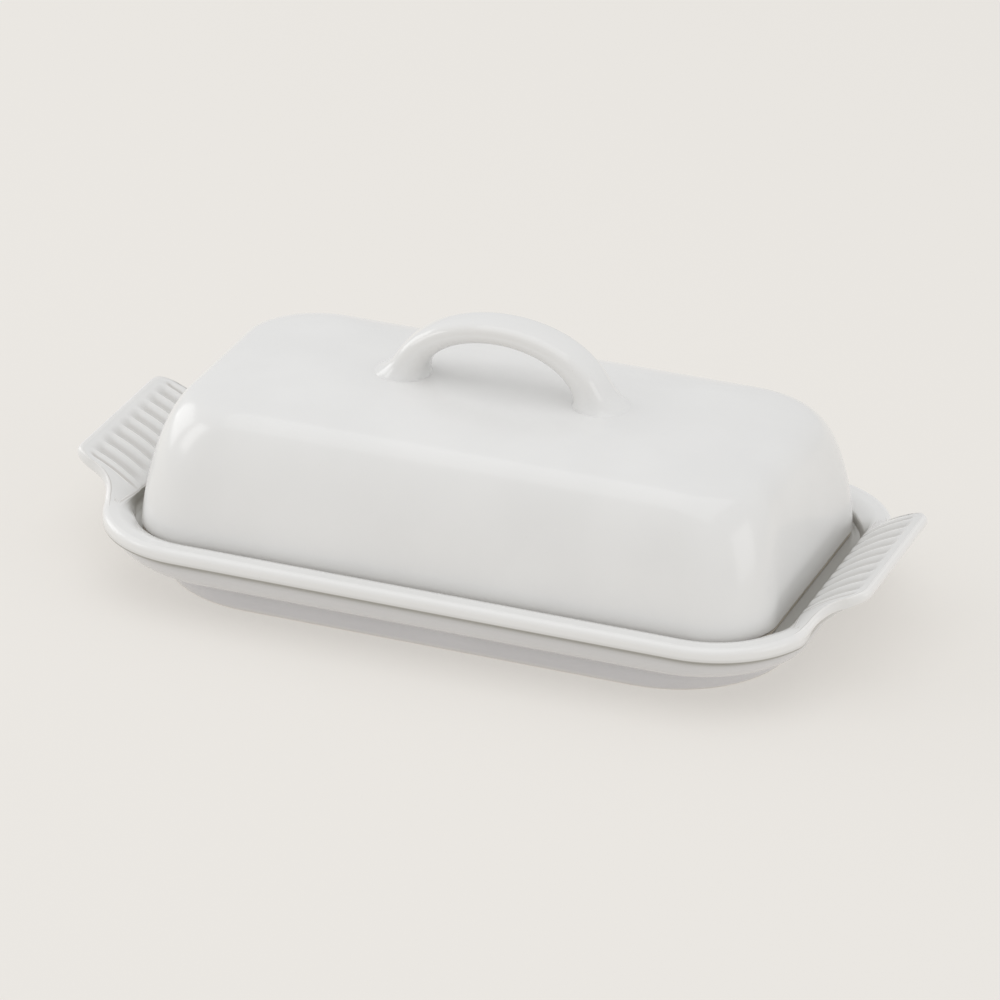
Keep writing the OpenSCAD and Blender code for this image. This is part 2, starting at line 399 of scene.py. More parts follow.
class Surface:
    """A mesh in the making: its points, its faces and its smooth normals."""

    def __init__(self, points: Points, faces: List[Tuple[int, ...]], normals: Optional[Points] = None,
                 painted_shade: Optional[Points] = None) -> None:
        """Keeps what it is given, and works out the rest.

        Args:
            points: The points, as rows of X, Y and Z.
            faces: The numbers of each face's points.
            normals: The points' normals, if they are known.
            painted_shade: How much painted shade darkens the glaze at each point, from 0 to 1, if not 0.
        """
        self.points = np.asarray(points, float)
        self.faces = faces
        self.normals = self._smooth_normals() if normals is None else normals
        self.painted_shade = np.zeros(len(self.points)) if painted_shade is None else painted_shade

    @classmethod
    def loft(cls, rings: Points, closed: bool = False, caps: Tuple[bool, bool] = (False, False)) -> "Surface":
        """Joins closed rings of points.

        Args:
            rings: The rings, as an array of ring, point and coordinate.
            closed: Whether the last ring joins the first.
            caps: Whether the first and the last ring are filled with one flat face.

        Returns:
            The surface.
        """
        count, around = rings.shape[:2]
        faces = [quad for _, quad in grid_quads(count, around, closed)]
        surface = cls(rings.reshape(-1, 3), faces)
        if caps[0]:
            surface.faces.append(tuple(range(around)))
        if caps[1]:
            surface.faces.append(tuple(range(count * around - 1, (count - 1) * around - 1, -1)))
        return surface

    def _smooth_normals(self) -> Points:
        """Averages the normals of the faces round each point, larger faces counting more.

        Returns:
            One unit normal for each point.
        """
        total = np.zeros_like(self.points)
        quads = np.array([face for face in self.faces if len(face) == 4])
        a, b, c, d = (self.points[quads[:, k]] for k in range(4))
        facing = np.cross(c - a, d - b)
        for k in range(4):
            np.add.at(total, quads[:, k], facing)
        length = np.linalg.norm(total, axis=1, keepdims=True)
        return total / np.maximum(length, 1e-12)

    def bend(self) -> Points:
        """How sharply the surface turns at each point.

        Returns:
            The curvature, in 1/m: above 0 on edges and ridges, below 0 in hollows.
        """
        quads = np.array([face for face in self.faces if len(face) == 4])
        pairs = np.concatenate([quads[:, [0, 1]], quads[:, [1, 2]], quads[:, [2, 3]], quads[:, [3, 0]]])
        i, j = pairs[:, 0], pairs[:, 1]
        along = self.points[j] - self.points[i]
        squared = np.maximum((along ** 2).sum(1), 1e-12)
        turning = ((self.normals[j] - self.normals[i]) * along).sum(1) / squared
        top = np.zeros(len(self.points))
        low = np.zeros(len(self.points))
        for end in (i, j):
            np.maximum.at(top, end, turning)
            np.minimum.at(low, end, turning)
        return np.where(top > -low, top, low)

    def part(self, keep: Sequence[Tuple[int, ...]]) -> "Surface":
        """Takes some of the faces, with the normals and so the shading of the whole.

        Args:
            keep: The faces to take.

        Returns:
            The new surface.
        """
        used = sorted({index for face in keep for index in face})
        place = {old: new for new, old in enumerate(used)}
        faces = [tuple(place[index] for index in face) for face in keep]
        return Surface(self.points[used], faces, self.normals[used], self.painted_shade[used])

    def close(self, outline: Points, facing: Sequence[float]) -> None:
        """Adds one flat face that shares no point with the rest.

        Args:
            outline: The face's corners.
            facing: The side that it faces.
        """
        start = len(self.points)
        normal = sum(np.cross(outline[k - 1], outline[k]) for k in range(len(outline)))
        order = range(len(outline)) if np.dot(normal, facing) > 0 else range(len(outline) - 1, -1, -1)
        self.points = np.vstack([self.points, outline])
        self.normals = np.vstack([self.normals, np.tile(np.asarray(facing, float), (len(outline), 1))])
        self.painted_shade = np.concatenate([self.painted_shade, np.zeros(len(outline))])
        self.faces.append(tuple(start + k for k in order))

    def make(self, name: str, material: bpy.types.Material) -> bpy.types.Object:
        """Turns the surface into a Blender object.

        Args:
            name: The piece's name.
            material: Its finish.

        Returns:
            The object, linked to the scene.
        """
        mesh = bpy.data.meshes.new(name)
        mesh.from_pydata(self.points.tolist(), [], self.faces)
        mesh.polygons.foreach_set("use_smooth", [True] * len(mesh.polygons))
        bend = self.bend()
        # Per point: lighter edges (thin glaze and painted highlight), darker hollows (pooled glaze and
        # painted shade), and painted shade.
        masks = {"thin": ease(bend, 150.0, 900.0), "pool": ease(-bend, 120.0, 700.0), "painted_shade": self.painted_shade}
        for key, amounts in masks.items():
            mesh.attributes.new(key, "FLOAT", "POINT").data.foreach_set("value", amounts.astype(np.float32))
        mesh.update()
        mesh.normals_split_custom_set_from_vertices(self.normals.tolist())
        mesh.materials.append(material)
        piece = bpy.data.objects.new(name, mesh)
        bpy.context.scene.collection.objects.link(piece)
        return piece


def grid_quads(count: int, around: int, closed: bool) -> List[Tuple[int, Tuple[int, ...]]]:
    """The quads between rings.

    Args:
        count: The number of rings.
        around: The number of points in each.
        closed: Whether the last ring joins the first.

    Returns:
        For each quad, its ring and its four corners.
    """
    quads = []
    for i in range(count if closed else count - 1):
        upper = (i + 1) % count
        for k in range(around):
            m = (k + 1) % around
            quads.append((i, (i * around + k, upper * around + k, upper * around + m, i * around + m)))
    return quads


def install(piece: bpy.types.Object, node: str, body: Body) -> None:
    """Puts a piece in the frame.

    Args:
        piece: The finished piece.
        node: The CAD node that it stands for.
        body: The body that it moves with.
    """
    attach(piece, body.value)
    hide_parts(node)
    LOG.info("%s stands for %s on %s: %d faces", piece.name, node, body.value, len(piece.data.polygons))


@dataclass
class Outline:
    """Rounded rectangles whose columns of points line up from ring to ring."""

    side_steps: int = 24
    corner_steps: int = 14
    end_steps: int = 12

    def ring(self, half_x: float, half_y: float, radius: float, z: float) -> Points:
        """One ring.

        Args:
            half_x: Half its length.
            half_y: Half its width.
            radius: Its corner radius.
            z: Its height.

        Returns:
            Its points.
        """
        up = np.linspace(0.0, half_y - radius, self.end_steps + 1)
        corner = turn(0.0, 90.0, self.corner_steps)[1:]
        return lifted(rounded(half_x, half_y, radius, up, corner, self.side_steps), z)


# ---- dish


@dataclass
class Dish:
    """The tray with its rolled rim, and the two fluted ears that rise from it."""

    half_x: float = 0.0957
    corner: float = 0.0286
    band: float = 0.0040
    wall_toe: float = 0.0088
    ear_wall: float = 0.0060
    wall_drop: float = 0.0024
    wall_lean: float = 0.0005
    wall_foot: float = 0.3
    wall_slope: float = 1.5
    fillet: float = 0.0016
    roll: float = 0.0016
    undercut: float = 0.0028
    belly_inset: float = 0.0116
    floor_thickness: float = 0.0055
    foot_corner: float = 0.031
    foot_band: float = 0.009
    ear_width: float = 0.054
    ear_height: float = 0.0284
    ear_thickness: float = 0.0032
    ear_corner: float = 0.0045
    ear_flank: float = 0.0070
    ear_arch: float = 0.043
    ridge_count: int = 9
    ridge_height: float = 0.0010
    ridge_sharpness: float = 1.2
    # Painted shade in the flutes' valleys, as a share of the full painted shade.
    flute_shade: float = 0.22
    flute_end: float = 0.0055
    smooth_lip: float = 0.003
    ridge_margin: float = 0.0015
    arch_drop: float = 0.0004
    face_low: float = 0.0010
    under_roll: float = 0.0008
    under_step: float = 0.0006
    belly_gap: float = 0.0004
    side_steps: int = 26
    corner_steps: int = 14
    top_rings: int = 34
    ridge_steps: int = 12

    def __post_init__(self) -> None:
        """Takes the sizes that the frame gives, and works out the rest."""
        low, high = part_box("dish_tray")
        self.half_y, self.top, self.foot_top = high.y, high.z, low.z
        ear_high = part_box("ear_right")[1]
        self.tip, self.blend_y = ear_high.x, ear_high.y
        self.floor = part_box("cover_edge")[0].z
        self.foot_x, self.foot_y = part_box("foot_ring")[1].xy
        self.straight_y = self.half_y - self.corner
        self.pitch = (self.ear_width - 2 * self.ridge_margin) / self.ridge_count
        self.ridges_half = self.pitch * self.ridge_count / 2
        self.ear_full = self.ear_width / 2 - 0.002
        self._set_arch()

    def _set_arch(self) -> None:
        """Finds the circle that the top of an ear follows."""
        self.arch_from = np.array([self.half_x - self.ear_wall, self.top - self.arch_drop])
        arch_to = np.array([self.tip, self.ear_height])
        chord = np.linalg.norm(arch_to - self.arch_from)
        along = (arch_to - self.arch_from) / chord
        drop = math.sqrt(self.ear_arch ** 2 - (chord / 2) ** 2)
        self.arch_centre = (self.arch_from + arch_to) / 2 + drop * np.array([along[1], -along[0]])

    # -- columns and rings

    def stations(self) -> Points:
        """Spreads the columns that cross an ear, closer together on its ridges and its corner.

        Returns:
            Their Y values, from the ear's middle to its border.
        """
        spacing = self.pitch / self.ridge_steps
        lip = self.ear_width / 2 - self.ear_corner
        flank_to = self.ear_width / 2 + self.ear_flank
        ridged = np.arange(0.0, self.ridges_half, spacing)
        start = math.asin((self.ridges_half - lip) / self.ear_corner)
        nose = lip + self.ear_corner * np.sin(np.linspace(start, math.pi / 2, 10))
        flank = flank_to - self.ear_flank * np.cos(turn(0.0, 90.0, 12)[1:])
        rest = np.linspace(flank_to, self.blend_y, 11)[1:]
        return np.concatenate([ridged, nose, flank, rest])

    def columns(self, half_x: float, half_y: float, radius: float, reach: float) -> Points:
        """One ring whose columns follow the ears' stations.

        Args:
            half_x: Half the ring's length.
            half_y: Half its width.
            radius: Its corner radius.
            reach: The radius that spreads the stations round the corner.

        Returns:
            Its points, as X and Y.
        """
        stations = self.stations()
        level = stations[stations <= self.straight_y]
        bent = stations[stations > self.straight_y]
        up = level * (half_y - radius) / self.straight_y
        early = np.arcsin((bent - self.straight_y) / reach)
        late = np.linspace(early[-1], math.pi / 2, self.corner_steps + 1)[1:]
        return rounded(half_x, half_y, radius, up, np.concatenate([early, late]), self.side_steps)

    def rim_columns(self, inset: float) -> Points:
        """The ring that follows the rim at an inset."""
        radius = self.corner - inset
        reach = max(radius, self.corner - self.wall_toe)
        return self.columns(self.half_x - inset, self.half_y - inset, radius, reach)

    # -- the ear

    def ear_edge(self, y: Points) -> Points:
        """The ear's edge, seen from above: a straight lip, a round corner, a hollow flank, the rim.

        Args:
            y: The Y of each point.

        Returns:
            The edge's X there.
        """
        v = np.abs(y)
        half = self.ear_width / 2
        round_from, flank_to = half - self.ear_corner, half + self.ear_flank
        corner = np.sqrt(np.maximum(0.0, self.ear_corner ** 2 - np.maximum(0.0, v - round_from) ** 2))
        hollow = np.sqrt(np.maximum(0.0, self.ear_flank ** 2 - np.maximum(0.0, flank_to - v) ** 2))
        lip = self.tip - self.ear_corner + corner
        flank = self.half_x + self.ear_flank - hollow
        past = np.clip(v - self.straight_y, 0.0, self.corner)
        rim = self.half_x - self.corner + np.sqrt(self.corner ** 2 - past ** 2)
        return np.where(v <= half, lip, np.where(v < flank_to, flank, rim))

    def arch(self, x: Points) -> Points:
        """The height of the ear's arch at each X."""
        return self.arch_centre[1] + np.sqrt(self.ear_arch ** 2 - (x - self.arch_centre[0]) ** 2)

    def valley(self, x: Points, y: Points) -> Points:
        """The flutes between the ridges.

        Args:
            x: The X of each point.
            y: Its Y.

        Returns:
            How deep the flutes are there.
        """
        edge = self.ear_edge(y)
        crest = (1.0 - np.cos(2.0 * math.pi * (y + self.ridges_half) / self.pitch)) / 2.0
        fade = ease(x, edge - self.smooth_lip, edge - self.flute_end)
        fade = fade * mix(0.3, 1.0, ease(x - self.arch_from[0], 0.0, 0.004))
        sides = ease(np.abs(y), self.ridges_half, self.ridges_half - self.pitch / 4)
        return self.ridge_height * (1.0 - crest ** self.ridge_sharpness) * fade * sides

    def profile(self) -> List[Tuple[str, float, float, float]]:
        """The dish's profile from the floor inside to the top of the foot.

        Returns:
            For each ring its zone, its inset from the rim's face, its height, and its share of the zone.
        """
        base = self.floor
        rows = [("floor", inset, base, share) for inset, share in (
            (0.020, 0.0), (0.014, 0.2), (0.0112, 0.5), (0.0094, 0.8))]
        rows += [("wall", *self.wall(t), t) for t in np.linspace(0.0, 1.0, 21)]
        inner, outer = self.band - 0.0002, self.roll + 0.0001
        rows += [("top", mix(inner, outer, t), self.top, t) for t in np.linspace(0.0, 1.0, self.top_rings)]
        rows += [("nose", self.roll * (1 - math.cos(a)), self.top - self.roll * (1 - math.sin(a)), a)
                 for a in turn(90.0, 0.0, 10)]
        low = base + self.face_low
        step, drop = self.under_step, self.under_roll
        rows += [("under", 0.0, mix(self.top - self.roll, low, t), t * 0.25) for t in (0.5, 1.0)]
        rows += [("under", step * (1 - math.cos(a)), low - drop * math.sin(a), mix(0.25, 0.45, math.sin(a)))
                 for a in turn(22.5, 90.0, 3)]
        rows += [("under", mix(step, self.undercut - 0.0005, t), low - drop + 0.0001 * t, mix(0.45, 0.92, t))
                 for t in (0.33, 0.66, 1.0)]
        rows += [("under", self.undercut, base, 1.0)]
        return rows

    def wall(self, share: float) -> Tuple[float, float]:
        """The wall inside the plain rim: a short steep foot, then a gentle slope up to the rim's top.

        Args:
            share: The share of the way up.

        Returns:
            Its inset from the rim's face, and its height.
        """
        if share < self.wall_foot:
            t = share / self.wall_foot
            return self.wall_toe - self.wall_lean * t * t, self.floor + self.wall_drop * t
        t = (share - self.wall_foot) / (1 - self.wall_foot)
        rise = self.top - self.floor - self.wall_drop
        return mix(self.wall_toe - self.wall_lean, self.band, t), self.top - rise * (1 - t) ** self.wall_slope

    @staticmethod
    def shade_amounts(zone: str, share: float) -> Tuple[float, float]:
        """How much painted shade darkens a ring: on the floor near the wall, low on the wall, on the wall
        under the ears, beneath the rim, and at the belly's top and tucked edge.

        Args:
            zone: The ring's zone.
            share: Its share of the zone.

        Returns:
            The painted shade on the plain rim and on the ear, from 0 to 1.
        """
        if zone == "floor":
            return share, share
        if zone == "wall":
            return 0.4 * (1 - ease(share, 0.15, 0.42)), 0.9 * (1 - ease(share, 0.70, 0.95))
        if zone == "under":
            return ease(share, 0.20, 0.34), 0.2
        if zone == "belly":
            return max(ease(share, 0.84, 0.97), ease(share, 0.02, -0.02)), 0.0
        return 0.0, 0.0

    def skin(self) -> Tuple[Surface, List[str], int]:
        """Builds tray and ears as one skin, so that they meet without a seam.

        Returns:
            The skin, the zone of each ring, and the number of columns.
        """
        rings, zones, shade_rows = [], [], []
        for zone, inset, z, share in self.profile():
            flat = self.rim_columns(inset)
            x, y = np.abs(flat[:, 0]), flat[:, 1]
            side = np.sign(flat[:, 0])
            heights = np.full(len(flat), z)
            # Painted shade of this ring on the plain rim and on the ear.
            plain, raised = self.shade_amounts(zone, share)
            amount = np.zeros(len(flat))
            if zone != "floor":
                ear_x, ear_z = self.ear_row(zone, share, y)
                at_end = flat[:, 0] != 0.0
                amount = np.where(at_end & (x > self.half_x - self.corner),
                                  ease(np.abs(y), self.blend_y, self.ear_full), 0.0)
                # On the ear's top the painted shade follows the flutes' valleys.
                if zone == "top":
                    raised = self.flute_shade * self.valley(ear_x, y) / self.ridge_height
                x = mix(x, ear_x, amount)
                heights = mix(heights, ear_z, amount)
            rings.append(np.column_stack([x * side, y, heights]))
            shade_rows.append(mix(plain, raised, amount))
            zones.append(zone)
        for row, share in self.belly():
            rings.append(row)
            # The belly carries painted shade at its top and at its tucked edge.
            shade_rows.append(np.full(len(row), self.shade_amounts("belly", share)[0]))
            zones.append("belly")
        grid = np.stack(rings)
        surface = Surface.loft(grid)
        surface.painted_shade = np.concatenate(shade_rows)
        return surface, zones, grid.shape[1]

    def ear_row(self, zone: str, share: float, y: Points) -> Tuple[Points, Points]:
        """Where a ring runs once the ear has fully risen.

        Args:
            zone: The ring's zone.
            share: Its share of the zone.
            y: The Y of each column.

        Returns:
            X and Z of each column.
        """
        inside = np.clip(y, -self.blend_y, self.blend_y)
        edge = self.ear_edge(inside)
        half = self.ear_thickness / 2
        nose_x, nose_z = edge - half, self.arch(edge - 0.0006) - half
        heel = self.half_x - self.undercut
        if zone == "wall":
            return self.ear_wall_row(share, inside)
        if zone == "top":
            x = mix(self.arch_from[0] + 0.0002, nose_x, share)
            return x, self.arch(x) - self.valley(x, inside)
        if zone == "nose":
            around = mix(math.radians(-75.0), math.radians(75.0), share / (math.pi / 2))
            return nose_x + half * math.cos(around), nose_z + half * math.sin(around)
        if zone == "under":
            low_z = nose_z - half
            return mix(nose_x, heel, share), mix(low_z, self.floor, share ** 1.25)
        raise ValueError(f"the ear has no zone {zone}")

    def ear_wall_row(self, share: float, y: Points) -> Tuple[Points, Points]:
        """A ring of the wall inside an ear: a fillet, a steep face, then a tight turn at the inner edge.

        Args:
            share: The ring's share of the wall, from the floor up.
            y: The Y of each column.

        Returns:
            X and Z of each column.
        """
        face, soft = self.arch_from[0] - 0.0003, 0.0006
        low, high = self.floor + self.fillet, self.arch_from[1] - soft
        if share < 0.4:
            a = math.pi / 2 * (1.0 - share / 0.4)
            x, z = face - self.fillet * (1 - math.cos(a)), self.floor + self.fillet * (1 - math.sin(a))
        elif share < 0.7:
            t = (share - 0.4) / 0.3
            x, z = face + 0.0001 * t, mix(low, high, t)
        else:
            a = math.radians(50.0) * (share - 0.7) / 0.3
            x, z = face + 0.0001 + soft * (1 - math.cos(a)), high + soft * math.sin(a)
        drop = self.valley(np.full(len(y), self.arch_from[0]), y) * ease(share, 0.5, 1.0)
        return np.full(len(y), x), z - drop

    def belly(self) -> List[Tuple[Points, float]]:
        """The belly, a quarter round from below the rim to the foot.

        Returns:
            Its rings, each with its share of the way up, and -1 for those tucked in below it.
        """
        rows = []
        last = self.foot_corner - 0.002
        heel = self.foot_top + self.belly_gap
        for t in np.linspace(1.0, 0.0, 16)[1:]:
            s = math.sin(math.pi / 2 * t)
            inset = mix(self.belly_inset, self.undercut, s)
            z = mix(heel, self.floor, 1 - math.cos(math.pi / 2 * t))
            rows.append((self._belly_ring(inset, mix(last, self.corner - self.undercut, s), z), t))
        for step_in, drop in ((0.00012, 0.00025), (0.0004, self.belly_gap), (0.0010, self.belly_gap)):
            ring = self._belly_ring(self.belly_inset + step_in, last - step_in, heel - drop)
            rows.append((ring, -1.0))
        return rows

    def _belly_ring(self, inset: float, radius: float, z: float) -> Points:
        """A level ring of the belly."""
        reach = self.corner - self.undercut
        return lifted(self.columns(self.half_x - inset, self.half_y - inset, radius, reach), z)

    def underside(self) -> List[Points]:
        """The recess below the floor: the rings that close the tray under the foot.

        Returns:
            The rings, from the foot in and up to the floor's underside.
        """
        reach = self.corner - self.undercut
        recess_x, recess_y = self.foot_x - self.foot_band, self.foot_y - self.foot_band
        radius = self.foot_corner - self.foot_band
        ceiling = self.floor - self.floor_thickness
        rows = [(0.0, self.foot_top), (0.0004, self.foot_top + 0.0015), (0.0010, ceiling - 0.0012),
                (0.0014, ceiling - 0.0005), (0.0022, ceiling), (0.0035, ceiling), (0.009, ceiling)]
        return [lifted(self.columns(recess_x - i, recess_y - i, radius - i, reach), z) for i, z in rows]

    # -- pieces

    def build(self, tray_glaze: Glaze, ear_glaze: Glaze) -> None:
        """Builds the tray and both ears.

        Args:
            tray_glaze: The finish of the tray.
            ear_glaze: The finish of the ears.
        """
        skin, zones, around = self.skin()
        rings = skin.points.reshape(-1, around, 3)
        under = np.stack([rings[-1], *self.underside()])
        border = self.blend_y + 1e-6
        toe = zones.index("wall")
        heel = len(zones) - 1 - zones[::-1].index("under")
        pieces: Dict[Any, List[Tuple[int, ...]]] = {None: [], End.LEFT: [], End.RIGHT: []}
        for i, quad in grid_quads(len(zones), around, False):
            corners = skin.points[list(quad)]
            at_end = abs(corners[0, 0]) > self.half_x / 2
            owner = None
            if at_end and toe <= i < heel and np.abs(corners[:, 1]).max() <= border:
                owner = End.RIGHT if corners[0, 0] > 0 else End.LEFT
            pieces[owner].append(quad)
        tray = skin.part(pieces[None])
        self._add_below(tray, Surface.loft(under, caps=(False, True)))
        tray.faces.append(tuple(self._find(tray, rings[0])))
        for end in End:
            ear = skin.part(pieces[end])
            for outline, facing in self._borders(rings, toe, heel, end):
                ear.close(outline, facing)
                tray.close(outline, [-f for f in facing])
            name = f"ear_{end.name.lower()}"
            install(ear.make(f"{name}_glazed", ear_glaze.material()), name, Body.DISH)
        install(tray.make("dish_tray_glazed", tray_glaze.material()), "dish_tray", Body.DISH)

    @staticmethod
    def _find(surface: Surface, ring: Points) -> List[int]:
        """The numbers of a ring's points in a surface that holds them."""
        lookup = {tuple(np.round(point, 9)): number for number, point in enumerate(surface.points)}
        return [lookup[tuple(np.round(point, 9))] for point in ring]

    @staticmethod
    def _add_below(tray: Surface, below: Surface) -> None:
        """Adds the underside's faces to the tray.

        Args:
            tray: The surface that grows.
            below: The underside.
        """
        start = len(tray.points)
        tray.points = np.vstack([tray.points, below.points])
        tray.normals = np.vstack([tray.normals, below.normals])
        tray.painted_shade = np.concatenate([tray.painted_shade, below.painted_shade])
        tray.faces += [tuple(start + index for index in face) for face in below.faces]

    def _borders(self, rings: Points, toe: int, heel: int, end: End) -> List[Tuple[Points, List[float]]]:
        """The three flat faces where an ear meets the tray.

        Args:
            rings: All the rings of the skin.
            toe: The first ring of the ear.
            heel: The last ring of the ear.
            end: The ear's end of the dish.

        Returns:
            Each face's outline, and the side that the ear's own face looks to.
        """
        here = np.abs(rings[toe, :, 1]) <= self.blend_y + 1e-6
        here &= rings[toe, :, 0] * end.value > self.half_x / 2
        columns = np.flatnonzero(here)
        columns = columns[np.argsort(rings[toe, columns, 1])]
        sole = np.vstack([rings[toe, columns], rings[heel, columns[::-1]]])
        first, last = rings[toe:heel + 1, columns[0]], rings[toe:heel + 1, columns[-1]]
        return [(sole, [0.0, 0.0, -1.0]), (first, [0.0, -1.0, 0.0]), (last, [0.0, 1.0, 0.0])]


@dataclass
class Foot:
    """The foot: a sloping skirt on a level bare band."""

    dish: Dish
    soft: float = 0.0008
    skirt_bulge: float = 0.0004
    skirt_tuck: float = 0.0026
    groove: float = 0.0006

    def build(self, glaze: Glaze) -> None:
        """Builds the foot.

        Args:
            glaze: Its finish.
        """
        x, y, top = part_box("foot_ring")[1]
        neck = self.dish.belly_inset + self.groove
        top_x, top_y = self.dish.half_x - neck, self.dish.half_y - neck
        band, corner, soft, outline = self.dish.foot_band, self.dish.foot_corner, self.soft, Outline()
        rows = [(band, top), (band, 0.0030), (band, 0.0009), (band - 0.0002, 0.0004), (band - 0.0006, 0.0),
                (band - 0.0012, 0.0), (2 * soft, 0.0), (soft, 0.0)]
        rows += [(soft * (1 - math.cos(a)), soft * (1 - math.sin(a))) for a in turn(67.5, 0.0, 3)]
        rings = [outline.ring(x - i, y - i, corner - i, z) for i, z in rows]
        for t in np.linspace(0.0, 1.0, 9)[1:]:
            bulge = self.skirt_bulge * math.sin(math.pi * t)
            rings.append(outline.ring(mix(x, top_x, t) + bulge, mix(y, top_y, t) + bulge,
                                      corner - self.skirt_tuck * t, mix(soft, top - 0.0004, t)))
        rings += [outline.ring(top_x - i, top_y - i, corner - self.skirt_tuck - i, top - drop)
                  for i, drop in ((0.0003, 0.0001), (0.0010, 0.0))]
        surface = Surface.loft(np.stack(rings), closed=True)
        install(surface.make("foot_ring_glazed", glaze.material()), "foot_ring", Body.DISH)


# ---- cover


@dataclass
class Cover:
    """The loaf-shaped cover: a hollow shell on a bare edge."""

    corner: float = 0.0175
    end_shoulder: float = 0.0104
    side_shoulder: float = 0.0124
    crown_rise: float = 0.0032
    crown_corner: float = 0.0188
    wall: float = 0.0048
    edge_step: float = 0.0005
    flat_x: float = 0.038
    flat_y: float = 0.0095
    flat_inset: float = 0.004
    shoulder_end: float = 84.0
    shoulder_in: float = 0.86
    shoulder_up: float = 1.32
    foot_share: float = 0.14
    relax_passes: int = 30
    soft: float = 0.0004

    def __post_init__(self) -> None:
        """Takes the sizes that the frame gives."""
        low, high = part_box("cover_shell")
        self.half_x, self.half_y, self.base, self.top = high.x, high.y, low.z, high.z
        self.shoulder_top = self.top - self.crown_rise
        self.outline = Outline(side_steps=30, corner_steps=18, end_steps=12)

    def shoulder_ring(self, t: float, wall: float) -> Points:
        """A ring of the wall and shoulder.

        Args:
            t: Its share of the way from the base to where the crown starts.
            wall: How far inside the outer face it lies.

        Returns:
            Its points.
        """
        last = math.radians(self.shoulder_end)
        a = last * t
        inward = (1 - math.cos(a) ** self.shoulder_in) / (1 - math.cos(last) ** self.shoulder_in)
        upward = (math.sin(a) / math.sin(last)) ** self.shoulder_up
        return self.outline.ring(
            self.half_x - self.end_shoulder * inward - wall, self.half_y - self.side_shoulder * inward - wall,
            mix(self.corner, self.crown_corner, t) - wall,
            mix(self.base, self.shoulder_top, upward) - wall * t)

    def crown_ring(self, t: float, wall: float) -> Points:
        """A ring of the crown.

        Args:
            t: Its share of the way from the shoulder to the flat that the handle stands on.
            wall: How far inside the outer face it lies.

        Returns:
            Its points.
        """
        return self.outline.ring(
            mix(self.half_x - self.end_shoulder - wall, self.flat_x, t),
            mix(self.half_y - self.side_shoulder - wall, self.flat_y, t),
            mix(self.crown_corner - wall, self.flat_y - 0.0005, t),
            mix(self.shoulder_top, self.top, t * (2 - t)) - wall)

    def flat_ring(self, z: float) -> Points:
        """The edge of the flat cap that closes the crown, at the height z."""
        x, y = self.flat_x - self.flat_inset, self.flat_y - self.flat_inset
        return self.outline.ring(x, y, y - 0.0005, z)

    def build(self, glaze: Glaze, clay: BareClay) -> None:
        """Builds the shell and its bare edge.

        Args:
            glaze: The finish of the shell.
            clay: The finish of the edge.
        """
        rings = [self.flat_ring(self.top - self.wall)]
        rings += [self.crown_ring(t, self.wall) for t in np.linspace(1.0, 0.0, 15)[:-1]]
        rings += [self.shoulder_ring(t, self.wall) for t in np.linspace(1.0, 0.0, 31)]
        rows = [(self.wall - 0.0001, 0.0), (self.edge_step + 0.0008, 0.0), (self.edge_step, 0.00002),
                (0.0002, 0.00025), (0.00005, 0.0006)]
        rings += [self.outline.ring(self.half_x - i, self.half_y - i, self.corner - i, self.base + up)
                  for i, up in rows]
        outside = [self.shoulder_ring(t, 0.0) for t in np.linspace(self.foot_share, 1.0, 44)]
        outside += [self.crown_ring(t, 0.0) for t in np.linspace(0.0, 1.0, 25)[1:]]
        rings += [*self.relaxed(np.stack(outside)), self.flat_ring(self.top)]
        shell = Surface.loft(np.stack(rings), caps=(True, True))
        install(shell.make("cover_shell_glazed", glaze.material()), "cover_shell", Body.COVER)
        self._build_edge(clay)

    def relaxed(self, rings: Points) -> Points:
        """Spreads the turn from shoulder to crown over its neighbours.

        Args:
            rings: The outside of the shell, from its base to its crown.

        Returns:
            The same rings, evened out from the middle of the shoulder on.
        """
        share = np.linspace(0.0, 1.0, len(rings) - 2)[:, None, None]
        amount = 0.5 * ease(share, 0.25, 0.55) * ease(share, 1.0, 0.75)
        for _ in range(self.relax_passes):
            rings[1:-1] += amount * ((rings[:-2] + rings[2:]) / 2 - rings[1:-1])
        return rings

    def _build_edge(self, clay: BareClay) -> None:
        """Builds the bare edge that the cover stands on.

        Args:
            clay: Its finish.
        """
        low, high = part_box("cover_edge")
        soft = self.soft
        width = self.wall - soft - self.edge_step
        turned = [(soft * (1 - math.cos(a)), low.z + soft * (1 - math.sin(a))) for a in turn(0.0, 90.0, 4)]
        rows = [(0.0, high.z), *turned, *((width - i, z) for i, z in turned[::-1]), (width, high.z)]
        corner = self.corner - self.edge_step
        rings = [self.outline.ring(high.x - i, high.y - i, corner - i, z) for i, z in rows]
        surface = Surface.loft(np.stack(rings[::-1]), closed=True)
        install(surface.make("cover_edge_bare", clay.material()), "cover_edge", Body.COVER)


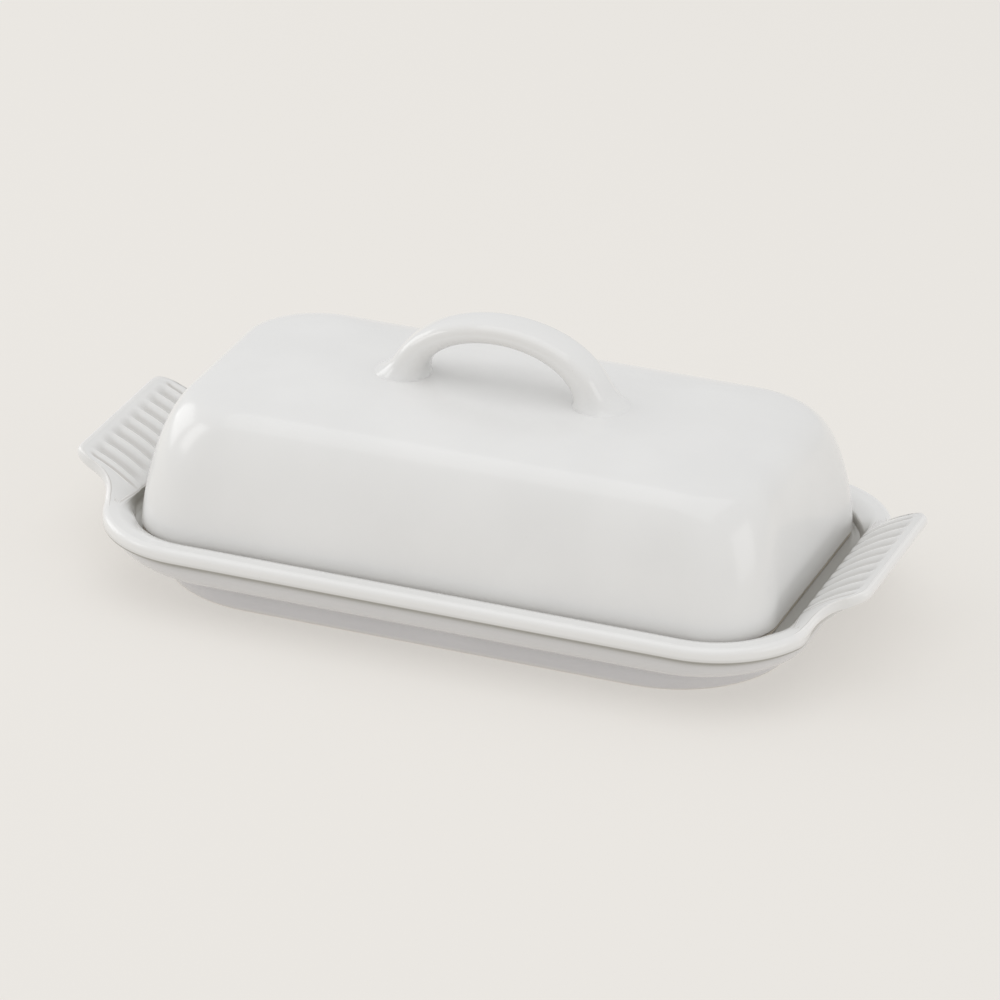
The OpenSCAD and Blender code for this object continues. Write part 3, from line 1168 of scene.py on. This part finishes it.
@dataclass
class LoopHandle:
    """The strap arched over the crown, with a spreading pad at each foot."""

    opening: float = 0.041
    finger_gap: float = 0.0128
    thickness: float = 0.0061
    leg: float = 0.0086
    strap_width: float = 0.0124
    flare_sharpness: float = 8.0
    inner_flare: float = 0.001
    squareness: float = 0.75
    pad_squareness: float = 0.95
    crowding: float = 0.06
    steps: int = 84
    around: int = 56

    def __post_init__(self) -> None:
        """Takes the sizes that the frame gives."""
        low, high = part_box("loop_handle")
        self.base, self.pad_half_y = low.z, high.y
        self.spread = high.x - self.opening / 2 - self.leg

    def ring(self, angle: float) -> Points:
        """One round-cornered section of the strap.

        Args:
            angle: Its place round the arch, in radians from the right foot.

        Returns:
            Its points.
        """
        flare = (1 - math.sin(angle)) ** self.flare_sharpness
        side = math.copysign(1.0, math.cos(angle))
        low = np.array([self.opening / 2 * math.cos(angle) - self.inner_flare * flare * side,
                        self.finger_gap * math.sin(angle)])
        high = np.array([(self.opening / 2 + self.leg) * math.cos(angle) + self.spread * flare * side,
                         (self.finger_gap + self.thickness) * math.sin(angle)])
        middle, out = (low + high) / 2, (high - low) / 2
        half_y = mix(self.strap_width / 2, self.pad_half_y, flare)
        k = np.linspace(0.0, 2.0 * math.pi, self.around, endpoint=False)
        square = mix(self.squareness, self.pad_squareness, flare)
        u = np.sign(np.cos(k)) * np.abs(np.cos(k)) ** square
        v = np.sign(np.sin(k)) * np.abs(np.sin(k)) ** square
        return np.column_stack([middle[0] + out[0] * u, half_y * v, self.base + middle[1] + out[1] * u])

    def build(self, glaze: Glaze) -> None:
        """Builds the handle.

        Args:
            glaze: Its finish.
        """
        share = np.linspace(0.0, 1.0, self.steps + 1)
        angles = math.pi * share - self.crowding * np.sin(2 * math.pi * share)
        rings = np.stack([self.ring(a) for a in angles])
        piece = Surface.loft(rings, caps=(True, True)).make("loop_handle_glazed", glaze.material())
        install(piece, "loop_handle", Body.COVER)


# ---- studio


@dataclass
class Studio:
    """The floor, the lights and the camera."""

    azimuth: float = 20.05
    elevation: float = 24.83
    roll: float = 1.66
    distance: float = 1.62922
    aim_x: float = 0.00131
    aim_y: float = -0.00258
    aim_z: float = 0.02380
    lens: float = 229.99
    air: Colour = (0.70, 0.70, 0.70)
    floor_half: float = 6.0

    def build(self) -> None:
        """Builds the whole studio."""
        self._floor()
        self._world()
        self._lights()
        self._camera()

    def _floor(self) -> None:
        """A wide level sweep under the dish."""
        half = self.floor_half
        corners = [(-half, -half, 0), (half, -half, 0), (half, half, 0), (-half, half, 0)]
        mesh = bpy.data.meshes.new("studio_floor")
        mesh.from_pydata(corners, [], [(0, 1, 2, 3)])
        mesh.materials.append(FloorPaint().material())
        floor = bpy.data.objects.new("studio_floor", mesh)
        bpy.context.scene.collection.objects.link(floor)

    def _world(self) -> None:
        """Even white light from all round."""
        world = bpy.data.worlds.new("studio_air")
        world.use_nodes = True
        back = world.node_tree.nodes["Background"]
        back.inputs["Color"].default_value = (*self.air, 1.0)
        back.inputs["Strength"].default_value = 1.0
        bpy.context.scene.world = world
        bpy.context.scene.view_settings.view_transform = "Standard"

    def _lights(self) -> None:
        """Four soft boxes: one above the dish, one at each side, and one in front at the left."""
        self._panel("top_panel", (0.0, -0.2, 1.5), 1.6, 1.6, 4.6)
        self._panel("left_fill", (-1.5, 0.35, 0.55), 0.9, 0.8, 3.0)
        self._panel("right_fill", (1.5, -0.2, 0.5), 0.9, 0.8, 2.0)
        self._panel("left_panel", (-1.32, -0.58, 0.74), 0.48, 0.75, 1.9)

    @staticmethod
    def _panel(name: str, place: Sequence[float], width: float, height: float, power: float) -> None:
        """Adds one soft box that faces the dish.

        Args:
            name: The light's name.
            place: Where it is.
            width: Its width.
            height: Its height.
            power: Its power, in watts.
        """
        data = bpy.data.lights.new(name, "AREA")
        data.shape, data.size, data.size_y, data.energy = "RECTANGLE", width, height, power
        lamp = bpy.data.objects.new(name, data)
        lamp.location = place
        lamp.rotation_euler = (Vector((0, 0, 0.03)) - Vector(place)).to_track_quat("-Z", "Y").to_euler()
        bpy.context.scene.collection.objects.link(lamp)

    def _camera(self) -> None:
        """A long lens that looks down on the dish from the front right."""
        az, el, roll = (math.radians(a) for a in (self.azimuth, self.elevation, self.roll))
        back = Vector((math.sin(az) * math.cos(el), -math.cos(az) * math.cos(el), math.sin(el)))
        right = Vector((math.cos(az), math.sin(az), 0.0))
        up = back.cross(right)
        level_x = right * math.cos(roll) + up * math.sin(roll)
        level_y = up * math.cos(roll) - right * math.sin(roll)
        data = bpy.data.cameras.new("studio_camera")
        data.lens, data.sensor_width = self.lens, 36.0
        data.clip_start, data.clip_end = 0.05, 50.0
        camera = bpy.data.objects.new("studio_camera", data)
        turned = Matrix((level_x, level_y, back)).transposed().to_4x4()
        centre = (CAD_BOX[0] + CAD_BOX[1]) / 2
        aim = Vector((centre.x + self.aim_x, centre.y + self.aim_y, self.aim_z))
        camera.matrix_world = Matrix.Translation(aim + back * self.distance) @ turned
        bpy.context.scene.collection.objects.link(camera)
        bpy.context.scene.camera = camera


def main() -> None:
    """Builds the dish, its cover and the studio, in order."""
    logging.basicConfig(level=logging.INFO, format="%(message)s")
    Studio().build()
    dish = Dish()
    # The ears' glaze: a brighter edge colour as a painted highlight on the crests, and a darker hollow colour
    # as painted shade in the flutes.
    ear_glaze = Glaze("ear_glaze", thin=(0.92, 0.905, 0.885), pool=(0.64, 0.615, 0.585))
    # The tray's glaze turns darker below low_shade_to: painted shade on the belly below the rim.
    dish.build(Glaze("tray_glaze", low_shade_from=0.0130), ear_glaze)
    # The foot's darker, greyer body colour: a thinner glaze, darkened further as painted shade under the
    # dish.
    Foot(dish).build(Glaze("foot_glaze", body=(0.70, 0.692, 0.705), bare_below=0.0001))
    Cover().build(Glaze("cover_glaze"), BareClay("bare_stoneware"))
    # The handle's glaze: a brighter edge colour, a painted highlight along the strap's edges.
    LoopHandle().build(Glaze("handle_glaze", thin=(0.95, 0.947, 0.94), gloss=0.12))


if __name__ == "__main__":
    main()
